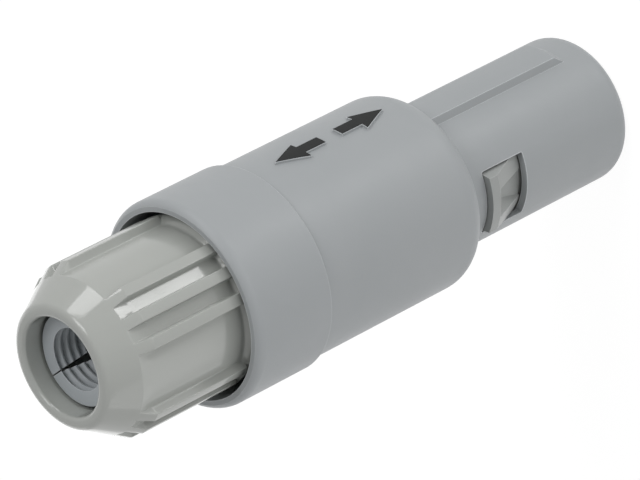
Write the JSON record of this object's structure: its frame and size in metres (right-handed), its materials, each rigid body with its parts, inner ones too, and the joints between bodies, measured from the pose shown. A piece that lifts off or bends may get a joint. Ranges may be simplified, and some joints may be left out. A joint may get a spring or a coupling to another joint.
{
  "type": "push-pull circular cable plug",
  "caption": "Straight plastic push-pull cable plug: keyed nose with latch windows, sliding grip shell with arrow marks, multi-pin insert, slotted collet and ribbed collet nut.",
  "frame": {"origin": "centre of the nose's mouth rim, which the plug stands on", "axes": "+Z along the plug's axis from the mouth towards the cable end; -Y is the side with the key and the two arrows; the latch windows look out to +X and -X"},
  "size_m": [0.014, 0.014, 0.0459],
  "materials": {
    "shell_grey": "satin",
    "sleeve_grey": "satin",
    "carrier_grey": "satin",
    "insulator_black": "satin",
    "contact_gold": "polished",
    "collet_grey": "satin",
    "nut_grey": "satin"
  },
  "bodies": {
    "inner_body": {"latch_sleeve": "sleeve_grey", "insert_carrier_left": "carrier_grey", "insert_carrier_right": "carrier_grey", "insulator": "insulator_black", "contact_01": "contact_gold", "contact_02": "contact_gold", "contact_03": "contact_gold", "contact_04": "contact_gold", "contact_05": "contact_gold", "contact_06": "contact_gold", "contact_07": "contact_gold", "contact_08": "contact_gold", "contact_09": "contact_gold", "contact_10": "contact_gold", "contact_11": "contact_gold", "contact_12": "contact_gold", "contact_13": "contact_gold", "contact_14": "contact_gold"},
    "shell": {"outer_shell": "shell_grey"},
    "finger_left": {"latch_finger_left": "sleeve_grey"},
    "finger_right": {"latch_finger_right": "sleeve_grey"},
    "collet": {"collet": "collet_grey"},
    "nut": {"collet_nut": "nut_grey"}
  },
  "joints": [
    {"name": "shell_slide", "type": "slide", "parent": "inner_body", "child": "shell", "axis": [0, 0, 1], "range_m": [0, 0.0015], "stiffness_N_per_m": 1000},
    {"name": "finger_left_bend", "type": "hinge", "parent": "inner_body", "child": "finger_left", "pos_m": [-0.00362, 0, 0.01752], "axis": [0, -1, 0], "range_deg": [0, 5.8]},
    {"name": "finger_right_bend", "type": "hinge", "parent": "inner_body", "child": "finger_right", "pos_m": [0.00362, 0, 0.01752], "axis": [0, 1, 0], "range_deg": [0, 5.8]},
    {"name": "collet_travel", "type": "slide", "parent": "inner_body", "child": "collet", "axis": [0, 0, 1], "range_m": [0, 0.001]},
    {"name": "nut_turn", "type": "hinge", "parent": "collet", "child": "nut", "pos_m": [0, 0, 0.04], "axis": [0, 0, 1], "range_deg": [0, 720]}
  ],
  "couplings": [
    {"joint": "finger_left_bend", "follows": "shell_slide", "rad_per_m": 58},
    {"joint": "finger_right_bend", "follows": "shell_slide", "rad_per_m": 58},
    {"joint": "nut_turn", "follows": "collet_travel", "rad_per_m": 12566}
  ]
}
